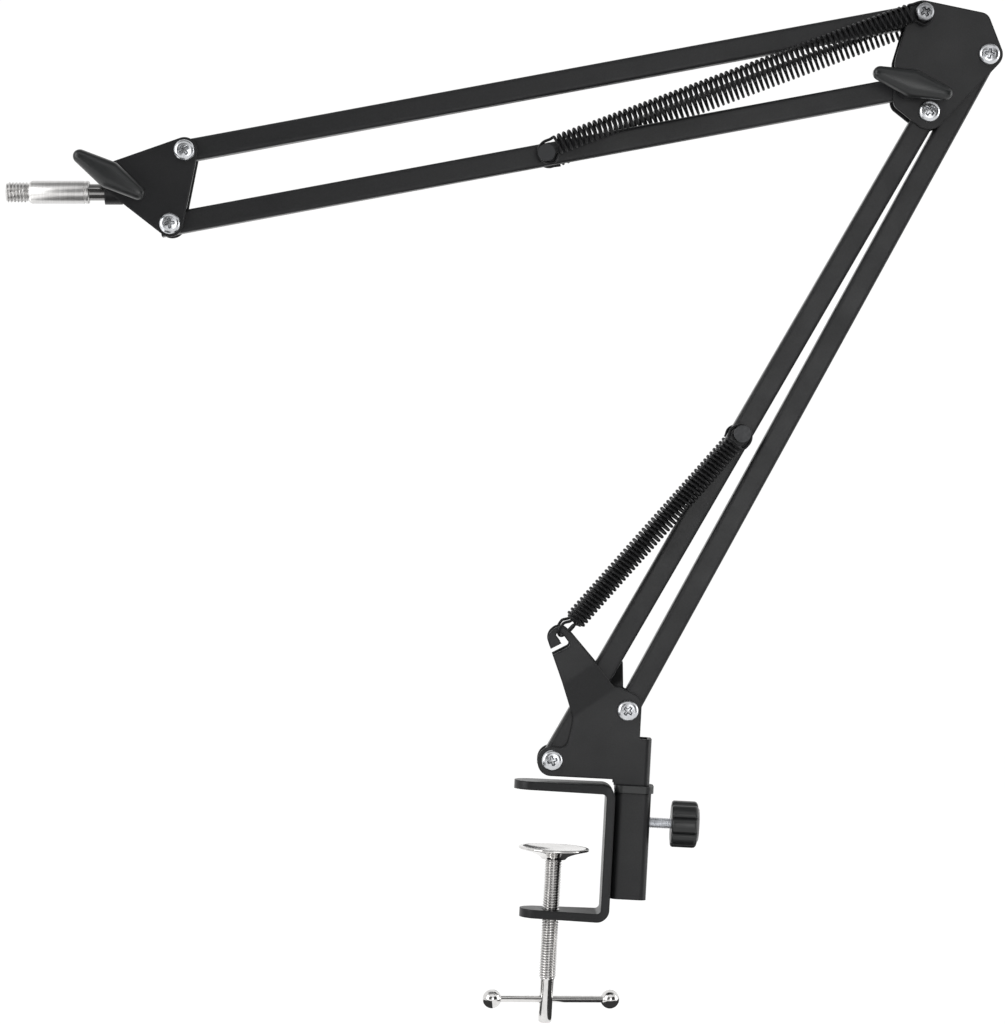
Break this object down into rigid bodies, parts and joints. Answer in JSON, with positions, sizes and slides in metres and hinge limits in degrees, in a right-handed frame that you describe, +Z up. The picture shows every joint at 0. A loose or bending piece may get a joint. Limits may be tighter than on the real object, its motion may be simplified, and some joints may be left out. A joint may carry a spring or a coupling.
{
  "type": "microphone boom arm",
  "caption": "Spring-balanced desk arm for a microphone: folding bar linkages with exposed coil springs, wing knobs, a threaded rod at the head and a swivelling screw clamp at the foot.",
  "frame": {"origin": "underside of the clamp's upper jaw, on the axis of the clamp screw", "axes": "+Z up along the clamp screw and the swivel, +X from the clamp's throat to its socket, +Y to the far side of the arm"},
  "size_m": [0.4614, 0.0475, 0.4869],
  "materials": {
    "black_paint": "satin",
    "spring_wire": "satin",
    "knob_plastic": "satin",
    "bush_plastic": "matte",
    "plated_steel": "satin",
    "dark_steel": "satin",
    "bright_steel": "polished"
  },
  "bodies": {
    "clamp": {"clamp_frame": "black_paint", "socket_tube": "black_paint", "socket_bush": "bush_plastic", "lock_weld_nut": "black_paint"},
    "pad": {"clamp_pad": "bright_steel"},
    "clamp_screw": {"clamp_screw": "bright_steel"},
    "tommy_bar": {"tommy_bar": "bright_steel", "tommy_bar_balls": "bright_steel"},
    "lock": {"lock_screw": "plated_steel", "lock_knob": "knob_plastic"},
    "turret": {"turret_bracket": "black_paint", "swivel_pin": "plated_steel", "turret_pivot_screws": "plated_steel", "turret_pivot_nuts": "plated_steel"},
    "lower_front": {"lower_arm_front_bar": "black_paint", "lower_front_bushes": "bush_plastic", "lower_spring_pin": "dark_steel", "lower_spring_spacers": "dark_steel"},
    "lower_rear": {"lower_arm_rear_bar": "black_paint", "lower_rear_bushes": "bush_plastic", "lower_rear_washers": "bush_plastic"},
    "lower_springs": {"lower_spring_near": "spring_wire", "lower_spring_far": "spring_wire"},
    "elbow": {"elbow_plate_near": "black_paint", "elbow_plate_far": "black_paint", "elbow_pivot_screws": "plated_steel", "elbow_pivot_nuts": "plated_steel", "elbow_spring_bolt": "plated_steel", "elbow_spring_nut": "plated_steel", "elbow_spring_spacers": "dark_steel", "elbow_knob_nut": "plated_steel"},
    "elbow_knob": {"elbow_knob": "knob_plastic", "elbow_knob_bolt": "plated_steel", "elbow_knob_washer": "plated_steel"},
    "upper_bottom": {"upper_arm_bottom_bar": "black_paint", "upper_bottom_bushes": "bush_plastic", "upper_spring_pin": "dark_steel", "upper_spring_spacers": "dark_steel"},
    "upper_top": {"upper_arm_top_bar": "black_paint", "upper_top_bushes": "bush_plastic"},
    "upper_spring_root": {"upper_spring_near": "spring_wire"},
    "upper_spring_tip": {"upper_spring_far": "spring_wire"},
    "head": {"head_plate_near": "black_paint", "head_plate_far": "black_paint", "head_pivot_screws": "plated_steel", "head_pivot_nuts": "plated_steel", "head_knob_nut": "plated_steel"},
    "head_knob": {"head_knob": "knob_plastic", "head_knob_bolt": "plated_steel", "head_knob_washer": "plated_steel"},
    "saddle": {"rod_saddle": "black_paint"},
    "mic_rod": {"mic_rod": "bright_steel", "thread_sleeve": "bright_steel"}
  },
  "joints": [
    {"name": "pad_travel", "type": "slide", "parent": "clamp", "child": "pad", "axis": [0, 0, 1], "range_m": [-0.0227, 0.02645]},
    {"name": "screw_turn", "type": "hinge", "parent": "pad", "child": "clamp_screw", "pos_m": [0, 0, -0.031], "axis": [0, 0, 1], "range_deg": [-6480, 7560]},
    {"name": "tommy_slide", "type": "slide", "parent": "clamp_screw", "child": "tommy_bar", "axis": [0.9511, 0.309, 0], "range_m": [-0.0241, 0.0189]},
    {"name": "lock_turn", "type": "hinge", "parent": "clamp", "child": "lock", "pos_m": [0.0542, 0, -0.0131], "axis": [1, 0, 0], "continuous": true},
    {"name": "swivel", "type": "hinge", "parent": "clamp", "child": "turret", "pos_m": [0.0355, 0, 0.0043], "axis": [0, 0, 1], "continuous": true},
    {"name": "lower_arm_lift", "type": "hinge", "parent": "turret", "child": "lower_front", "pos_m": [-0.0032, 0, 0.0143], "axis": [0, -1, 0], "range_deg": [0, 57]},
    {"name": "lower_rear_lift", "type": "hinge", "parent": "turret", "child": "lower_rear", "pos_m": [0.0308, 0, 0.0394], "axis": [0, -1, 0], "range_deg": [-1, 57.09]},
    {"name": "elbow_level", "type": "hinge", "parent": "lower_front", "child": "elbow", "pos_m": [0.15624, 0, 0.32587], "axis": [0, -1, 0], "range_deg": [-69.74, 1]},
    {"name": "lower_springs_swing", "type": "hinge", "parent": "turret", "child": "lower_springs", "pos_m": [-0.003, 0, 0.0731], "axis": [0, -1, 0], "range_deg": [-1, 83.25], "deforming": ["lower_spring_near", "lower_spring_far"]},
    {"name": "elbow_knob_turn", "type": "hinge", "parent": "elbow", "child": "elbow_knob", "pos_m": [0.14604, 0, 0.33697], "axis": [0, 1, 0], "continuous": true},
    {"name": "upper_arm_lift", "type": "hinge", "parent": "elbow", "child": "upper_bottom", "pos_m": [0.14604, 0, 0.33697], "axis": [0, 1, 0], "range_deg": [-35, 45]},
    {"name": "upper_top_lift", "type": "hinge", "parent": "elbow", "child": "upper_top", "pos_m": [0.15104, 0, 0.37121], "axis": [0, 1, 0], "range_deg": [-36, 46]},
    {"name": "upper_spring_swing", "type": "hinge", "parent": "elbow", "child": "upper_spring_root", "pos_m": [0.15104, 0, 0.37121], "axis": [0, 1, 0], "range_deg": [-33.13, 42.31], "deforming": ["upper_spring_near"]},
    {"name": "upper_spring_stretch", "type": "slide", "parent": "upper_spring_root", "child": "upper_spring_tip", "axis": [-0.9177, 0, -0.3972], "range_m": [-0.02345, 0.01835], "deforming": ["upper_spring_far"]},
    {"name": "head_level", "type": "hinge", "parent": "upper_bottom", "child": "head", "pos_m": [-0.19423, 0, 0.25503], "axis": [0, 1, 0], "range_deg": [-46, 36]},
    {"name": "head_knob_turn", "type": "hinge", "parent": "head", "child": "head_knob", "pos_m": [-0.22203, 0, 0.27513], "axis": [0, 1, 0], "continuous": true},
    {"name": "mic_tilt", "type": "hinge", "parent": "head", "child": "saddle", "pos_m": [-0.22203, 0, 0.27513], "axis": [0, 1, 0], "range_deg": [-60, 60]},
    {"name": "mic_rod_turn", "type": "hinge", "parent": "saddle", "child": "mic_rod", "pos_m": [-0.22169, 0, 0.26854], "axis": [-0.9986, 0, -0.0523], "continuous": true}
  ],
  "couplings": [
    {"joint": "pad_travel", "follows": "screw_turn", "m_per_rad": 0.00019894},
    {"joint": "lower_rear_lift", "follows": "lower_arm_lift", "ratio": 0.984},
    {"joint": "elbow_level", "follows": "lower_arm_lift", "ratio": -1.206},
    {"joint": "lower_springs_swing", "follows": "lower_arm_lift", "ratio": 1.443},
    {"joint": "upper_top_lift", "follows": "upper_arm_lift", "ratio": 1},
    {"joint": "head_level", "follows": "upper_arm_lift", "ratio": -1},
    {"joint": "upper_spring_swing", "follows": "upper_arm_lift", "ratio": 0.918},
    {"joint": "upper_spring_stretch", "follows": "upper_arm_lift", "m_per_rad": -0.029221}
  ]
}
